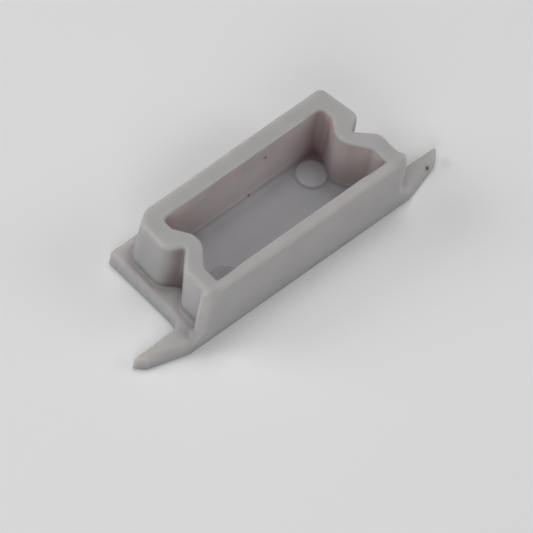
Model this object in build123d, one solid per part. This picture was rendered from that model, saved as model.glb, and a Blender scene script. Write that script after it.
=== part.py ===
from build123d import *
import math
import os

# Moulded end cap for a recessed aluminium strip-light profile, one piece.
# Millimetres. Origin: middle of the outer face, in the plane of that face.
# X runs across the cap, +Z points into the profile. The two flange wings are
# on the -Y side, and the plug's front wall is level with them.

# ---- driving dimensions ---------------------------------------------------
flange_half = 12.42         # centre plane to the rounded end of a wing
plate_half = 8.5            # half width of the cover plate behind the wings
plate_front = -4.04
plate_rear = 4.04
plate_t = 1.0               # thickness of cover plate and wings
plate_corner_r = 0.45       # rear corners of the plate, in plan
wing_rear_root = -2.45      # rear edge of a wing, where it leaves the plate
wing_rear_tip = -2.56
wing_root_r = 0.3           # inside corner between plate and wing
wing_slant_x = 9.08         # where the slanted front edge of a wing starts
wing_slant_r = 0.5
bevel_x, bevel_y = 11.8, -3.2     # front corner of the bevelled wing end
bevel_r = 0.3
tip_over = 0.2              # the sharp end of the wing before it is rounded
tip_r = 0.1

total_h = 5.2               # outer face to rim
# plan of the plug where it leaves the plate, half outline, front to rear
foot_half = 7.85
foot_shoulder_x, foot_shoulder_y, foot_shoulder_r = 7.79, -1.6, 0.9
foot_notch_x, foot_notch_y, foot_notch_r = 6.72, -0.68, 0.15
foot_ear_y, foot_ear_r = 0.26, 1.1
foot_rear_y, foot_rear_r = 3.24, 0.8
# plan of the plug at the rim
rim_half = 8.18
rim_shoulder_x, rim_shoulder_y, rim_shoulder_r = 8.13, -1.58, 0.9
rim_notch_x, rim_notch_y, rim_notch_r = 6.83, -0.4, 0.15
rim_ear_x, rim_ear_y, rim_ear_r = 8.0, 0.2, 0.8
rim_rear_x, rim_rear_y, rim_rear_r = 7.5, 3.18, 0.8

cheek_half = 8.45           # the front wall stands out past the plug's sides
cheek_rear = -3.42

floor_z = 0.9               # cavity floor above the outer face
cavity_draft = 1.0          # degrees
cavity_front = -3.33
cavity_rear = 1.98
cavity_half_front = 6.92
cavity_half_rear = 6.52
cavity_front_r = 0.08
cavity_shoulder_y, cavity_shoulder_r = -2.177, 0.5
bulge_x, bulge_y, bulge_r = 5.5675, -0.3734, 1.18  # wall swelling round the notch
cavity_elbow_y, cavity_elbow_r = 1.144, 0.3
cavity_rear_r = 0.38

foot_r = 0.22               # plug wall into the plate
edge_r = 0.2                # inner edge of plate and wings, upright front corners
rim_r = 0.25               # outer edge of the rim
cavity_floor_r = 0.15       # cavity wall into the floor

pad_r = 1.0                 # round ejector pads standing on the floor
pad_h = 0.26
pads = [(5.05, 0.61), (-4.2, -1.85)]   # one behind on the right, one in front on the left
pad_edge_r = 0.1


# ---- helpers ----------------------------------------------------------------
def both_sides(half):
    """Close a half outline of (x, y, r) corners, front to rear, over the centre plane."""
    return list(half) + [(-x, y, r) for x, y, r in reversed(half)]


def outline(corners, z=0.0):
    """Face with straight sides, each corner rounded with its own radius."""
    pts = [Vector(x, y) for x, y, _ in corners]
    n = len(pts)
    ends = []
    for i in range(n):
        p, a, b = pts[i], pts[i - 1], pts[(i + 1) % n]
        r = corners[i][2]
        if r <= 0:
            ends.append((p, None, p))
            continue
        u, v = (a - p).normalized(), (b - p).normalized()
        half_angle = math.radians(u.get_angle(v)) / 2
        t = r / math.tan(half_angle)
        middle = (u + v).normalized()
        centre = p + middle * (r / math.sin(half_angle))
        ends.append((p + u * t, centre - middle * r, p + v * t))
    edges = []
    for i in range(n):
        start, mid, end = ends[i]
        if mid is not None:
            edges.append(ThreePointArc(start, mid, end))
        nxt = ends[(i + 1) % n][0]
        if (nxt - end).length > 1e-6:
            edges.append(Line(end, nxt))
    return Pos(0, 0, z) * make_face(Wire(edges))


def lies_at(edge, z, tol=2e-3):
    box = edge.bounding_box()
    return abs(box.min.Z - z) < tol and abs(box.max.Z - z) < tol


def in_front_plane(edge):
    return all(abs((edge @ t).Y - plate_front) < 1e-3 for t in (0, 0.5, 1))


# ---- cover plate with its two wings -------------------------------------------
plate = extrude(
    outline(
        both_sides(
            [
                (wing_slant_x, plate_front, wing_slant_r),
                (bevel_x, bevel_y, bevel_r),
                (flange_half + tip_over, wing_rear_tip, tip_r),
                (plate_half, wing_rear_root, wing_root_r),
                (plate_half, plate_rear, plate_corner_r),
            ]
        )
    ),
    amount=plate_t,
)

# ---- plug: notched in each side, its plan changing from foot to rim --------------
# Both plans run past the front plane and are trimmed there, which leaves the
# front wall upright and level with the plate.
plan_foot = both_sides(
    [
        (foot_half, plate_front - 1, 0),
        (foot_shoulder_x, foot_shoulder_y, foot_shoulder_r),
        (foot_notch_x, foot_notch_y, foot_notch_r),
        (foot_half, foot_ear_y, foot_ear_r),
        (foot_half - 0.08, foot_rear_y, foot_rear_r),
    ]
)
plan_rim = both_sides(
    [
        (rim_half, plate_front - 1, 0),
        (rim_shoulder_x, rim_shoulder_y, rim_shoulder_r),
        (rim_notch_x, rim_notch_y, rim_notch_r),
        (rim_ear_x, rim_ear_y, rim_ear_r),
        (rim_rear_x, rim_rear_y, rim_rear_r),
    ]
)
plug = loft([outline(plan_foot, plate_t), outline(plan_rim, total_h)], ruled=True)
plug += extrude(outline(plan_foot, plate_t), amount=-plate_t / 2)
plug -= Pos(0, plate_front - 10, 0) * Box(60, 20, 40)

# ---- front wall, a little wider than the plug behind it --------------------------
cheek = Pos(0, (plate_front + cheek_rear) / 2, (plate_t / 2 + total_h) / 2) * Box(
    2 * cheek_half, cheek_rear - plate_front, total_h - plate_t / 2
)
cap = plate + plug + cheek

# ---- plug walls run into the plate with a small radius ---------------------------
foot = [
    e
    for e in cap.edges()
    if lies_at(e, plate_t)
    and abs((e @ 0.5).X) < cheek_half + 1e-3
    and plate_front + 1e-3 < (e @ 0.5).Y < plate_rear - 0.3
    and abs(abs((e @ 0.5).X) - plate_half) > 1e-3
]
cap = cap.fillet(foot_r, foot)

# ---- one soft edge: plate and wings, then up the front corners of the plug --------
soft = [
    e
    for e in cap.edges()
    if (
        lies_at(e, plate_t)
        and (
            abs((e @ 0.5).X) > plate_half - 0.04
            or (e @ 0.5).Y > plate_rear - 0.5
            or in_front_plane(e)
        )
    )
    or (in_front_plane(e) and plate_t - 1e-3 < (e @ 0.5).Z < total_h - 1e-3)
]
cap = cap.fillet(edge_r, soft)

# ---- outer edge of the rim -----------------------------------------------------------
cap = cap.fillet(rim_r, [e for e in cap.edges() if lies_at(e, total_h)])

# ---- cavity, open at the rim ------------------------------------------------------------
cavity = extrude(
    outline(
        both_sides(
            [
                (cavity_half_front, cavity_front, cavity_front_r),
                (cavity_half_front, cavity_shoulder_y, cavity_shoulder_r),
                (bulge_x, bulge_y, bulge_r),
                (cavity_half_rear, cavity_elbow_y, cavity_elbow_r),
                (cavity_half_rear, cavity_rear, cavity_rear_r),
            ]
        ),
        z=total_h,
    ),
    amount=total_h - floor_z,
    dir=(0, 0, -1),
    taper=cavity_draft,
)
cavity = cavity.fillet(cavity_floor_r, [e for e in cavity.edges() if lies_at(e, floor_z)])
cap -= cavity

# ---- round pads left by the ejector pins -------------------------------------------------
pad = Cylinder(pad_r, pad_h + 0.2, align=(Align.CENTER, Align.CENTER, Align.MIN))
pad = pad.fillet(pad_edge_r, [e for e in pad.edges() if lies_at(e, pad_h + 0.2)])
for x, y in pads:
    cap += Pos(x, y, floor_z - 0.2) * pad

end_cap = cap.solids()[0]
end_cap.label = "end_cap"

os.makedirs("parts", exist_ok=True)
export_step(end_cap, "parts/end_cap.step")

box = end_cap.bounding_box()
print("solids", len(cap.solids()), "volume", round(end_cap.volume, 2))
print("x", round(box.min.X, 3), round(box.max.X, 3), "y", round(box.min.Y, 3), round(box.max.Y, 3), "z", round(box.min.Z, 3), round(box.max.Z, 3))
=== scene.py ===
import bpy
import numpy as np
from mathutils import Matrix, Vector


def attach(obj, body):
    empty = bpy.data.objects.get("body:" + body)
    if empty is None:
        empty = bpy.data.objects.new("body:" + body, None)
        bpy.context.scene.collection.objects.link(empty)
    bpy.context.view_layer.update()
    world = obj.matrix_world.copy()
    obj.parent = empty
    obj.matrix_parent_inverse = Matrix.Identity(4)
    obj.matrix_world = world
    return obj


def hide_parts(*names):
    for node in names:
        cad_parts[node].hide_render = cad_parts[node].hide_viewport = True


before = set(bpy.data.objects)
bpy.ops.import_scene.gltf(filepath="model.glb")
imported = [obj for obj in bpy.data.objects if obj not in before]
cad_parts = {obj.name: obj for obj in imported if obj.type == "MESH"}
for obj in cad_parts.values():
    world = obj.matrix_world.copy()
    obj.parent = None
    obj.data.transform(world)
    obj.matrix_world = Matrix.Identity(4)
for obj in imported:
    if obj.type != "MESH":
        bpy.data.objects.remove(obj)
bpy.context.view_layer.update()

sc = bpy.context.scene

# ---------------------------------------------------------------------------
# camera: long lens, the picture's right and up axes given in the part's frame
# ---------------------------------------------------------------------------
R = Vector((0.73152, -0.67279, 0.11061)).normalized()
U = Vector((0.51412, 0.65085, 0.55865)).normalized()
B = R.cross(U).normalized()
U = B.cross(R)
target = Vector((-2.543, -3.342, 2.6)) * 0.001
dist = 0.60
px_per_m = 16670.0
cam_data = bpy.data.cameras.new("camera")
cam_data.sensor_width = 36.0
cam_data.lens = px_per_m * dist / 533.0 * 36.0
cam_data.clip_start = 0.01
cam_data.clip_end = 5.0
cam = bpy.data.objects.new("camera", cam_data)
m = Matrix((R, U, B)).transposed().to_4x4()
m.translation = target + B * dist
cam.matrix_world = m
sc.collection.objects.link(cam)
sc.camera = cam
sc.view_settings.view_transform = "Standard"

# ---------------------------------------------------------------------------
# the moulding as a distance field, in millimetres, then meshed
# ---------------------------------------------------------------------------
T_PLATE = 1.0
H = 5.2
FRONT = -4.04
FLOOR = 0.9
PADS = [(5.05, 0.61), (-4.2, -1.85)]
PAD_H = 0.26


def rounded(half, steps=7):
    """Half outline of (x, y, r) corners, mirrored over x=0 and sampled as a closed polygon."""
    c = list(half) + [(-x, y, r) for x, y, r in half[::-1]]
    out = []
    n = len(c)
    for i in range(n):
        p = np.array(c[i][:2], float)
        a = np.array(c[i - 1][:2], float)
        b = np.array(c[(i + 1) % n][:2], float)
        r = c[i][2]
        if r <= 0:
            out.append(p)
            continue
        u = (a - p) / np.linalg.norm(a - p)
        v = (b - p) / np.linalg.norm(b - p)
        ang = np.arccos(np.clip(u @ v, -1, 1))
        t = r / np.tan(ang / 2)
        bis = (u + v) / np.linalg.norm(u + v)
        cen = p + bis * r / np.sin(ang / 2)
        p1, p2 = p + u * t - cen, p + v * t - cen
        a1, a2 = np.arctan2(p1[1], p1[0]), np.arctan2(p2[1], p2[0])
        d = (a2 - a1 + np.pi) % (2 * np.pi) - np.pi
        for k in range(steps + 1):
            w = a1 + d * k / steps
            out.append(cen + r * np.array([np.cos(w), np.sin(w)]))
    return np.array(out)


class Plan:
    """Signed distance to a symmetric outline, tabled over the half plane x >= 0."""

    X0, X1, Y0, Y1, S = -0.2, 15.6, -7.2, 7.2, 0.04

    def __init__(self, half):
        poly = rounded(half)
        xs = np.arange(self.X0, self.X1 + self.S, self.S)
        ys = np.arange(self.Y0, self.Y1 + self.S, self.S)
        X, Y = np.meshgrid(xs, ys, indexing="ij")
        q = np.stack([X.ravel(), Y.ravel()], 1)
        d2 = np.full(len(q), 1e9)
        inside = np.zeros(len(q), bool)
        for i in range(len(poly)):
            a, b = poly[i - 1], poly[i]
            e = b - a
            L2 = e @ e
            if L2 < 1e-16:
                continue
            w = q - a
            t = np.clip((w @ e) / L2, 0, 1)
            g = w - t[:, None] * e
            d2 = np.minimum(d2, (g * g).sum(1))
            c = (a[1] > q[:, 1]) != (b[1] > q[:, 1])
            if abs(e[1]) > 1e-12:
                xc = a[0] + (q[:, 1] - a[1]) * e[0] / e[1]
                inside ^= c & (q[:, 0] < xc)
        d = np.sqrt(d2)
        d[inside] *= -1
        self.T = d.reshape(X.shape)

    def __call__(self, ax, y):
        f = (ax - self.X0) / self.S
        g = (y - self.Y0) / self.S
        i = np.clip(f.astype(int), 0, self.T.shape[0] - 2)
        j = np.clip(g.astype(int), 0, self.T.shape[1] - 2)
        u = np.clip(f - i, 0, 1)
        v = np.clip(g - j, 0, 1)
        T = self.T
        return (T[i, j] * (1 - u) * (1 - v) + T[i + 1, j] * u * (1 - v)
                + T[i, j + 1] * (1 - u) * v + T[i + 1, j + 1] * u * v)


def r_and(a, b, r):
    """Intersection whose edge is rounded with radius r."""
    u = np.maximum(a + r, 0)
    v = np.maximum(b + r, 0)
    return np.minimum(-r, np.maximum(a, b)) + np.sqrt(u * u + v * v)


def r_or(a, b, r):
    """Union whose inside corner is filled with radius r."""
    u = np.maximum(r - a, 0)
    v = np.maximum(r - b, 0)
    return np.maximum(r, np.minimum(a, b)) - np.sqrt(u * u + v * v)


def step(a, b, x):
    t = np.clip((x - a) / (b - a), 0, 1)
    return t * t * (3 - 2 * t)


# plate and wings; the front side is left open here and cut by the front outline below
plan_plate = Plan([(12.75, -6.0, 0), (12.52, -2.55, 0.12), (8.5, -2.45, 0.8), (8.5, 4.04, 0.36)])
plan_front = Plan([(9.08, FRONT, 0.4), (11.85, -3.24, 0.3), (12.5, -2.62, 0.14), (12.9, 0.0, 0), (12.9, 7.0, 0)])
plan_foot = Plan([(7.85, -7.0, 0), (7.79, -1.6, 0.9), (6.72, -0.68, 0.15), (7.84, 0.24, 1.1), (7.76, 3.25, 0.7)])
plan_foot_left = Plan([(7.85, -7.0, 0), (7.79, -1.6, 0.9), (6.72, -0.68, 0.15), (7.82, 0.3, 1.2), (7.8, 3.22, 0.9)])
plan_rim = Plan([(8.18, -7.0, 0), (8.14, -1.56, 0.9), (6.85, -0.4, 0.12), (8.02, 0.2, 0.75), (7.52, 3.19, 0.5)])
plan_rim_left = Plan([(8.18, -7.0, 0), (8.12, -1.6, 0.95), (6.8, -0.36, 0.15), (7.97, 0.2, 0.85), (7.84, 2.52, 0.4), (6.85, 3.17, 1.2)])
plan_cavity = Plan([(6.92, -3.33, 0.1), (6.92, -2.177, 0.5), (5.5675, -0.3734, 1.18), (6.52, 1.144, 0.3), (6.52, 1.98, 0.38)])
plan_cavity_left = Plan([(6.92, -3.33, 0.1), (6.92, -2.177, 0.5), (5.45, -0.42, 1.2), (6.52, 1.144, 0.3), (6.52, 1.98, 0.38)])


def field(p):
    x, y, z = p[:, 0], p[:, 1], p[:, 2]
    ax = np.abs(x)
    # plate with wings
    d_plate = r_and(plan_plate(ax, y), z - T_PLATE, 0.24)
    # plug, its plan changing from foot to rim
    t = np.clip((z - T_PLATE) / (H - T_PLATE), 0, 1) ** 1.35
    foot = np.where(x < 0, plan_foot_left(ax, y), plan_foot(ax, y))
    rim = np.where(x < 0, plan_rim_left(ax, y), plan_rim(ax, y))
    k = foot * (1 - t) + rim * t
    # the front wall stands out a little past the plug's sides
    cheek = r_and(ax - 8.47 + 0.12 * step(3.6, 5.2, z), y + 3.38, 0.25)
    k = r_or(k, cheek, 0.25)
    side = step(-1.3, -2.3, y)
    turn = np.exp(-((ax - 7.4) / 0.45) ** 2 - ((y + 0.1) / 0.35) ** 2)
    d_plug = r_and(k, z - H, 0.25 + 0.12 * side * step(6.8, 7.6, ax) + 0.15 * turn)
    # foot radius: small along the sides, wide where the front wall meets the wings
    r_foot = 0.2 + 0.18 * side + np.where(x > 0, 0.5, 0.1) * step(-2.6, -3.6, y) * step(7.4, 8.2, ax)
    a = r_or(d_plate, d_plug, r_foot)
    # front faces, with the edge radius changing along the edge
    up = step(1.0, 1.9, z)
    r_f = 0.2 + up * (0.1 + 0.34 * step(6.9, 7.9, ax))
    wide = step(8.5, 9.2, ax) * (1 - step(11.2, 12.0, ax)) * (1 - up)
    r_f = r_f + (0.25 + 0.12 * step(9.2, 10.4, ax)) * wide
    b = r_and(a, plan_front(ax, y), r_f)
    c = r_and(b, -z, 0.05)
    # cavity with draft
    hollow = np.where(x < 0, plan_cavity_left(ax, y), plan_cavity(ax, y))
    cav = r_and(hollow + (H - z) * 0.01746, FLOOR - z, 0.16)
    d = r_and(c, -cav, 0.07 + 0.13 * step(4.9, 5.6, ax))
    for px, py in PADS:
        pad = r_and(np.hypot(x - px, y - py) - 1.0, z - FLOOR - PAD_H, 0.1)
        pad = np.maximum(pad, 0.3 - z)
        d = r_or(d, pad, 0.06)
    # the moulding is not dead flat: slow waviness, stronger on the wings
    amp = 0.006 + 0.02 * step(8.8, 10.5, ax) * step(0.3, 0.8, z)
    wob = (np.sin(1.9 * x + 0.7 * y + 1.3) * np.sin(2.3 * y - 1.1 * z + 0.4)
           + 0.6 * np.sin(3.7 * x - 2.2 * y + 2.9 * z + 2.0) * np.sin(2.9 * y + 3.1 * z + 0.9))
    # two low lumps along the front edge of the left wing
    lump = (np.exp(-((x + 10.95) ** 2 + 3.0 * (y + 3.12) ** 2) / 0.09)
            + 0.8 * np.exp(-((x + 10.15) ** 2 + 3.0 * (y + 3.3) ** 2) / 0.12)) * step(0.4, 0.9, z)
    return d + amp * wob * step(0.05, 0.5, z) - 0.045 * lump


def spread(stops):
    """Grid positions whose spacing follows (position, spacing) stops."""
    at, gap = zip(*stops)
    p = [at[0]]
    while p[-1] < at[-1]:
        p.append(p[-1] + np.interp(p[-1], at, gap))
    return np.array(p)


def surface():
    """Dual mesh of the zero level, on a grid that is finer where the edges are."""
    gx = spread([(0, 0.22), (2.7, 0.22), (3.1, 0.085), (8.8, 0.085), (9.4, 0.15), (11.3, 0.15), (11.7, 0.07), (12.7, 0.07)])
    gy = spread([(-4.3, 0.07), (-3.15, 0.07), (-2.95, 0.13), (-2.8, 0.08), (-2.2, 0.08), (-1.9, 0.12), (-1.3, 0.085),
                 (0.6, 0.085), (0.9, 0.11), (1.6, 0.11), (1.75, 0.07), (2.1, 0.07), (2.3, 0.15), (2.75, 0.15),
                 (2.9, 0.08), (3.4, 0.08), (3.6, 0.12), (3.8, 0.07), (4.3, 0.07)])
    gz = spread([(-0.13, 0.07), (0.12, 0.07), (0.3, 0.14), (0.7, 0.14), (0.85, 0.06), (1.4, 0.08), (1.8, 0.17),
                 (4.4, 0.17), (4.7, 0.07), (5.45, 0.06)])
    ax = [np.concatenate([-gx[:0:-1], gx]), gy, gz]
    n = np.array([len(a) for a in ax])
    F = np.empty(n)
    for k in range(n[2]):
        X, Y = np.meshgrid(ax[0], ax[1], indexing="ij")
        P = np.stack([X.ravel(), Y.ravel(), np.full(X.size, ax[2][k])], 1)
        F[:, :, k] = field(P).reshape(X.shape)
    S = F < 0
    cnt = sum(S[i:n[0] - 1 + i, j:n[1] - 1 + j, k:n[2] - 1 + k].astype(int)
              for i in (0, 1) for j in (0, 1) for k in (0, 1))
    mixed = (cnt > 0) & (cnt < 8)
    ids = np.full(mixed.shape, -1)
    ids[mixed] = np.arange(mixed.sum())
    cells = np.argwhere(mixed)
    acc = np.zeros((len(cells), 3))
    num = np.zeros(len(cells))
    for axis in range(3):
        o1, o2 = [b for b in range(3) if b != axis]
        for s in (0, 1):
            for w in (0, 1):
                off = np.zeros(3, int)
                off[o1], off[o2] = s, w
                a = cells + off
                b = a.copy()
                b[:, axis] += 1
                fa, fb = F[tuple(a.T)], F[tuple(b.T)]
                hit = (fa < 0) != (fb < 0)
                t = np.where(hit, fa / np.where(hit, fa - fb, 1), 0)
                pa = np.stack([ax[i][a[:, i]] for i in range(3)], 1)
                pb = np.stack([ax[i][b[:, i]] for i in range(3)], 1)
                pos = pa + t[:, None] * (pb - pa)
                acc[hit] += pos[hit]
                num[hit] += 1
    V = acc / num[:, None]
    quads = []
    for axis in range(3):
        o1, o2 = [(1, 2), (2, 0), (0, 1)][axis]
        sl_a = [slice(None)] * 3
        sl_b = [slice(None)] * 3
        sl_a[axis], sl_b[axis] = slice(0, -1), slice(1, None)
        ch = S[tuple(sl_a)] != S[tuple(sl_b)]
        e = np.argwhere(ch)
        e = e[(e[:, o1] > 0) & (e[:, o2] > 0)]
        q = []
        for s, w in ((0, 0), (-1, 0), (-1, -1), (0, -1)):
            c = e.copy()
            c[:, o1] += s
            c[:, o2] += w
            q.append(ids[tuple(c.T)])
        q = np.stack(q, 1)
        flip = ~S[tuple(e.T)]
        q[flip] = q[flip][:, ::-1]
        quads.append(q)
    Q = np.concatenate(quads)
    Q = Q[(Q >= 0).all(1)]

    def grad(P, e=0.01):
        G = np.stack([field(P + e * v) - field(P - e * v) for v in np.eye(3)], 1) / (2 * e)
        return G

    for _ in range(3):
        f = field(V)
        G = grad(V)
        g2 = np.maximum((G * G).sum(1), 0.2)
        V = V - np.clip(f / g2, -0.04, 0.04)[:, None] * G
    N = grad(V, 0.02)
    N /= np.maximum(np.linalg.norm(N, axis=1), 1e-9)[:, None]
    return V, Q, N


def tints(P, N):
    """Colour factor of each point, from where it lies and how closed in it is: painted light and shade for the most
    part.
    """
    x, y, z = P[:, 0], P[:, 1], P[:, 2]
    near = np.zeros(len(P))
    far = np.zeros(len(P))
    for d in (0.3, 0.6, 1.0):
        near += np.clip(1 - field(P + N * d) / d, 0, 1) / 3
    for d in (1.4, 2.8):
        far += np.clip(1 - field(P + N * d) / d, 0, 1) / 2
    shut = 0.65 * near + 0.35 * far
    hole = step(0.3, -0.1, plan_cavity(np.abs(x), y)) * step(5.12, 4.78, z) * step(0.5, 0.8, z)
    wall = step(0.75, 0.3, N[:, 2])
    for px, py in PADS:
        wall = wall * (1 - step(1.15, 1.02, np.hypot(x - px, y - py)) * step(FLOOR + PAD_H + 0.1, FLOOR + PAD_H, z))
    out = np.ones((len(P), 3))

    def lay(mask, colour):
        c = np.array(colour)
        out[:] = out * (1 + mask[:, None] * (c - 1))

    # the hollow, painted light: walls painted warm and lighter where light comes through them, floor painted cooler
    lay(hole * wall, (1.27, 1.175, 1.17))
    # upper part of the walls painted lighter still: painted light
    lay(hole * wall * step(2.2, 4.9, z), (1.07, 1.055, 1.05))
    # walls near the front wall painted darker and less warm: painted shade
    lay(hole * wall * step(-2.6, -3.15, y), (0.9, 0.955, 0.96))
    lay(hole * (1 - wall), (1.0, 0.99, 1.035))
    # right-hand part of the hollow's floor painted darker: painted shade
    lay(hole * (1 - wall) * step(1.5, 5.0, x), (0.9, 0.91, 0.91))
    # left end of the hollow painted lighter: painted light
    lay(hole * step(-4.0, -6.3, x), (1.12, 1.09, 1.09))
    # pads: their side ring painted lighter (painted light), their tops painted darker, the near pad most (painted
    # shade)
    for (px, py), f in zip(PADS, (0.94, 0.82)):
        lay(hole * np.exp(-((np.hypot(x - px, y - py) - 1.02) / 0.07) ** 2) * step(FLOOR + PAD_H + 0.05, FLOOR + 0.1, z), (1.12, 1.12, 1.12))
        lay(hole * step(1.1, 0.95, np.hypot(x - px, y - py)) * step(FLOOR + 0.1, FLOOR + 0.2, z), (f, f - 0.01, f))
    # wall of the right-hand bulge painted darker: painted shade
    lay(hole * wall * np.exp(-((x - 5.8) / 0.9) ** 2 - ((y + 0.6) / 1.2) ** 2), (0.86, 0.83, 0.83))
    # rounded inner rim edge at the right bulge painted darker: painted shade that damps its highlight
    painted_edge_shade = np.exp(-(plan_cavity(np.abs(x), y) / 0.16) ** 2) * step(4.9, 5.05, z) * step(4.9, 5.6, x)
    lay(painted_edge_shade, (0.9, 0.88, 0.88))
    # outer walls, towards the ground: painted shade, a little darker and cooler lower down
    lay((1 - hole) * step(0.5, 0.1, N[:, 2]) * step(4.6, 1.2, z), (0.98, 0.97, 1.0))
    # upright front corners painted lighter: a painted highlight
    lay((1 - hole) * np.exp(-((np.abs(x) - 8.25) / 0.4) ** 2 - ((y + 3.85) / 0.4) ** 2) * step(1.0, 1.6, z) * step(5.0, 4.4, z), (1.1, 1.115, 1.1))
    # closed-in corners painted darker and browner: painted shade
    dim = np.exp(-((x - 6.3) / 1.6) ** 2 - ((y - 1.9) / 1.3) ** 2)
    crease = hole * step(0.05, 0.4, near) * step(2.4, 1.2, z) * (1 - dim)
    lay(step(0.2, 0.75, shut) * (1 - crease), (0.88, 0.78, 0.78))
    # the hollow's lower creases, less round the pads and not in the rear-right corner, are kept out of that painted
    # shade and painted lighter: painted light
    for px, py in PADS:
        crease = crease * (1 - 0.8 * step(1.35, 1.15, np.hypot(x - px, y - py)))
    lay(crease, (1.2, 1.175, 1.18))
    # plate top close in by the plug's foot painted lighter: painted light
    ledge = (1 - hole) * step(1.35, 1.1, z) * step(0.5, 0.8, N[:, 2]) * step(8.8, 8.5, np.abs(x))
    lay(ledge * step(0.03, 0.2, shut) * (1 - 0.5 * step(1.2, 2.4, y)), (1.14, 1.155, 1.155))
    # outer foot fillet painted darker and browner: painted shade
    lay((1 - hole) * step(1.03, 1.08, z) * step(1.5, 1.25, z) * step(0.06, 0.2, near) * step(8.6, 8.3, np.abs(x)), (0.92, 0.885, 0.875))
    # plate's top edge along the sides painted darker: painted shade that damps its highlight
    lay((1 - hole) * step(8.25, 8.4, np.abs(x)) * step(0.75, 0.9, z) * step(1.1, 1.0, z) * step(-2.6, -2.1, y), (0.93, 0.93, 0.94))
    # side walls between shoulder and front wall, painted lighter: painted light
    lay((1 - hole) * step(7.4, 7.7, np.abs(x)) * step(8.45, 8.3, np.abs(x)) * step(-3.4, -3.1, y) * step(-1.4, -1.9, y)
        * step(4.95, 4.6, z) * step(1.3, 1.6, z), (1.09, 1.08, 1.1))
    # rear corners of the hollow painted dark brown, stronger low down and weaker on the left: painted shadow
    corner = np.exp(-((np.abs(x) - 6.5) / 1.15) ** 2 - ((y - 1.9) / 1.0) ** 2) * (0.4 + 0.6 * step(4.5, 1.5, z))
    lay(hole * corner * np.where(x < 0, 0.45, 1.0), (0.62, 0.49, 0.49))
    # notch beside the ear painted dark brown, most low down: painted shade
    low = step(4.6, 1.4, z) * step(0.98, 1.25, z)
    notch = np.exp(-((np.abs(x) - 6.9) / 0.8) ** 2 - ((y + 0.1) / 0.65) ** 2)
    lay((1 - hole) * notch * (0.35 * step(0.98, 1.25, z) + 0.65 * low) * step(5.1, 4.8, z), (0.63, 0.51, 0.5))
    lay((1 - hole) * notch * step(3.2, 1.9, z) * step(0.98, 1.25, z), (0.85, 0.78, 0.76))
    # thin wing ends are a little creamier
    lay((1 - hole) * step(9.5, 12.0, np.abs(x)), (0.995, 1.0, 0.965))
    return out, shut


V, Q, N = surface()
me = bpy.data.meshes.new("end_cap_moulding")
me.from_pydata((V * 0.001).tolist(), [], Q.tolist())
me.validate()
me.shade_smooth()
me.normals_split_custom_set_from_vertices(N.tolist())
# the colour factors below hold painted light and shade, stored as the tint attribute
tint, shut = tints(V, N)
rgba = np.ones((len(V), 4), np.float32)
rgba[:, :3] = tint * 0.65
me.attributes.new("tint", "FLOAT_COLOR", "POINT").data.foreach_set("color", rgba.ravel())
me.attributes.new("shut", "FLOAT", "POINT").data.foreach_set("value", shut.astype(np.float32))
cap = bpy.data.objects.new("end_cap_moulding", me)
sc.collection.objects.link(cap)
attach(cap, "root")
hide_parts("end_cap")
print("triangles", 2 * len(Q), "low", V.min(0), "high", V.max(0))

# ---------------------------------------------------------------------------
# materials
# ---------------------------------------------------------------------------
def new_material(name):
    mat = bpy.data.materials.new(name)
    mat.use_nodes = True
    return mat, mat.node_tree.nodes, mat.node_tree.links, mat.node_tree.nodes["Principled BSDF"]


mat, nodes, links, bsdf = new_material("grey_plastic_moulded")
bsdf.inputs["Roughness"].default_value = 0.5
bsdf.inputs["Specular IOR Level"].default_value = 0.32
bsdf.inputs["Subsurface Weight"].default_value = 1.0
bsdf.inputs["Subsurface Radius"].default_value = (1.0, 0.75, 0.7)
bsdf.inputs["Subsurface Scale"].default_value = 0.0016
coord = nodes.new("ShaderNodeTexCoord")
mm = nodes.new("ShaderNodeVectorMath")
mm.operation = "SCALE"
mm.inputs["Scale"].default_value = 1000.0
links.new(coord.outputs["Object"], mm.inputs[0])


def noise(scale, detail=3.0, rough=0.5):
    t = nodes.new("ShaderNodeTexNoise")
    t.inputs["Scale"].default_value = scale
    t.inputs["Detail"].default_value = detail
    t.inputs["Roughness"].default_value = rough
    links.new(mm.outputs[0], t.inputs["Vector"])
    return t.outputs["Fac"]


def ramp(src, stops):
    r = nodes.new("ShaderNodeValToRGB")
    while len(r.color_ramp.elements) < len(stops):
        r.color_ramp.elements.new(0.5)
    for el, (pos, col) in zip(r.color_ramp.elements, stops):
        el.position = pos
        el.color = (*col, 1)
    links.new(src, r.inputs[0])
    return r.outputs["Color"]


def attribute(name):
    a = nodes.new("ShaderNodeAttribute")
    a.attribute_name = name
    return a


def mix(mode, a, b, fac=1.0):
    n = nodes.new("ShaderNodeMix")
    n.data_type = "RGBA"
    n.blend_type = mode
    n.inputs["Factor"].default_value = 1.0
    for sock, v in ((n.inputs["Factor"], fac), (n.inputs[6], a), (n.inputs[7], b)):
        if hasattr(v, "is_linked"):
            links.new(v, sock)
        else:
            sock.default_value = v
    return n.outputs[2]


base = ramp(noise(0.55, 4), [(0.3, (0.675, 0.67, 0.668)), (0.7, (0.725, 0.722, 0.72))])
# the tint attribute multiplies in the painted light and shade
base = mix("MULTIPLY", base, attribute("tint").outputs["Color"])
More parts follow.
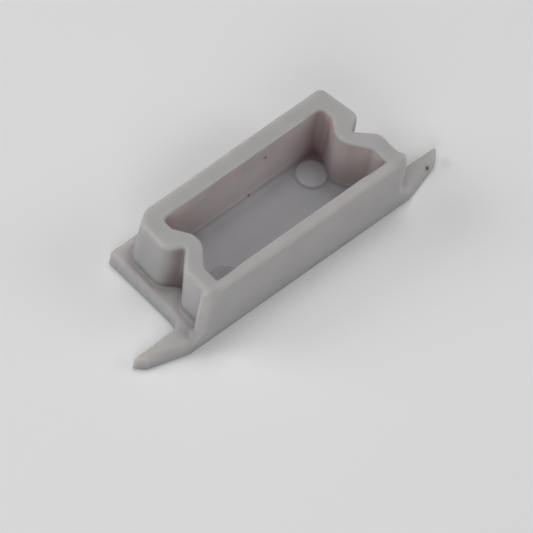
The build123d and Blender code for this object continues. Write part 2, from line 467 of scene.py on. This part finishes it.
# three specks of dirt, each with a faint halo
for cx, cy, cz, r in ((11.053, -3.365, 0.793, 0.12), (2.044, 1.959, 3.962, 0.085), (1.021, 1.883, 0.972, 0.06)):
    d = nodes.new("ShaderNodeVectorMath")
    d.operation = "DISTANCE"
    links.new(mm.outputs[0], d.inputs[0])
    d.inputs[1].default_value = (cx, cy, cz)
    far = nodes.new("ShaderNodeMapRange")
    for lo, hi, top, colour in ((0.8, 2.6, 0.35, (0.2, 0.19, 0.08, 1)), (0.4, 1.35, 1.0, (0.012, 0.011, 0.006, 1))):
        far = nodes.new("ShaderNodeMapRange")
        far.inputs["From Min"].default_value = r * lo
        far.inputs["From Max"].default_value = r * hi
        far.inputs["To Min"].default_value = top
        far.inputs["To Max"].default_value = 0.0
        links.new(d.outputs["Value"], far.inputs["Value"])
        base = mix("MIX", base, colour, far.outputs["Result"])
links.new(base, bsdf.inputs["Base Color"])
links.new(ramp(noise(1.4, 5), [(0.3, (0.46, 0.46, 0.46)), (0.75, (0.58, 0.58, 0.58))]), bsdf.inputs["Roughness"])
bump = nodes.new("ShaderNodeBump")
bump.inputs["Strength"].default_value = 0.35
bump.inputs["Distance"].default_value = 0.00001
links.new(noise(5.0, 6, 0.6), bump.inputs["Height"])
links.new(bump.outputs["Normal"], bsdf.inputs["Normal"])
me.materials.append(mat)

# ---------------------------------------------------------------------------
# floor, world and lights
# ---------------------------------------------------------------------------
fm = bpy.data.meshes.new("floor")
s = 1.0
fm.from_pydata([(-s, -s, 0), (s, -s, 0), (s, s, 0), (-s, s, 0)], [], [(0, 1, 2, 3)])
floor = bpy.data.objects.new("floor", fm)
floor.location.z = -0.00002
sc.collection.objects.link(floor)
fmat, fn, fl, fb = new_material("floor")
fb.inputs["Base Color"].default_value = (0.9, 0.9, 0.9, 1)
fb.inputs["Roughness"].default_value = 0.9
fm.materials.append(fmat)

world = bpy.data.worlds.new("world")
sc.world = world
world.use_nodes = True
world.node_tree.nodes["Background"].inputs[0].default_value = (0.97, 0.985, 1.0, 1)
world.node_tree.nodes["Background"].inputs[1].default_value = 0.02


def area(name, loc, size, power, aim=(0, 0, 0), colour=(1, 1, 1)):
    l = bpy.data.lights.new(name, "AREA")
    l.size = size
    l.energy = power
    l.color = colour
    ob = bpy.data.objects.new(name, l)
    ob.location = loc
    ob.rotation_euler = (Vector(aim) - Vector(loc)).to_track_quat("-Z", "Y").to_euler()
    sc.collection.objects.link(ob)


area("top", (0.05, 0.05, 0.33), 0.18, 0.43)
area("rear_left", (-0.20, 0.20, 0.20), 0.18, 0.36)
area("front_right", (0.20, -0.20, 0.20), 0.18, 0.21)
area("left", (-0.23, -0.18, 0.19), 0.18, 0.305)
